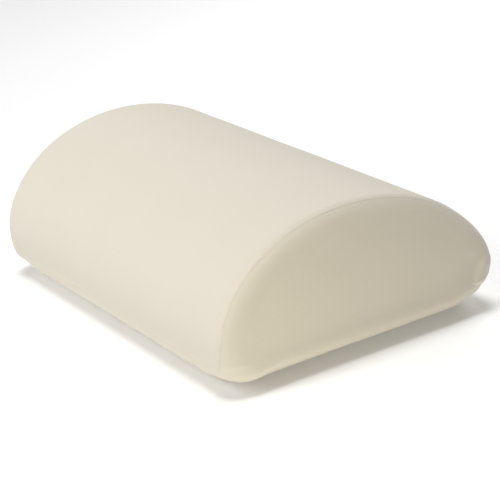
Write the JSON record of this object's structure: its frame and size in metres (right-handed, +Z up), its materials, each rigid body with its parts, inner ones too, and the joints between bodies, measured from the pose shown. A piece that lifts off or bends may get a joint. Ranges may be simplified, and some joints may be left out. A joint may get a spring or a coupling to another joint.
{
  "type": "half round bolster",
  "caption": "Half round foam support bolster with a flat base, soft rounded corners, and a close sewn cover that closes with a zip along one lower long side.",
  "frame": {"origin": "middle of the flat base, on the surface that the bolster rests on", "axes": "+Y along the length, +Z up from the flat base, +X towards the long side that has the zip"},
  "size_m": [0.2042, 0.36, 0.1],
  "materials": {
    "cover_cloth": "matt smooth knit, cream",
    "liner_knit": "matt thin knit, off-white",
    "foam": "open-cell foam, pale yellow",
    "tape_weave": "matt woven tape, cream",
    "nylon": "satin nylon, cream",
    "nickel": "satin nickel"
  },
  "bodies": {
    "bolster": {"foam_core": "foam", "inner_liner": "liner_knit", "cover_top_panel": "cover_cloth", "cover_base_panel": "cover_cloth", "cover_end_panel_near": "cover_cloth", "cover_end_panel_far": "cover_cloth", "zip_tape_upper": "tape_weave", "zip_tape_lower": "tape_weave", "zip_coil_upper": "nylon", "zip_coil_lower": "nylon", "zip_top_stop_upper": "nickel", "zip_top_stop_lower": "nickel", "zip_bottom_stop": "nickel"},
    "slider": {"zip_slider": "nickel"},
    "pull": {"zip_pull": "nickel"}
  },
  "joints": [
    {"name": "zip_slide", "type": "slide", "parent": "bolster", "child": "slider", "axis": [0, 1, 0], "range_m": [-0.2237, 0], "deforming": ["zip_coil_upper", "zip_coil_lower"]},
    {"name": "pull_hinge", "type": "hinge", "parent": "slider", "child": "pull", "pos_m": [0.1026, 0.112, 0.023], "axis": [0, 0, 1], "range_deg": [0, 180]}
  ]
}
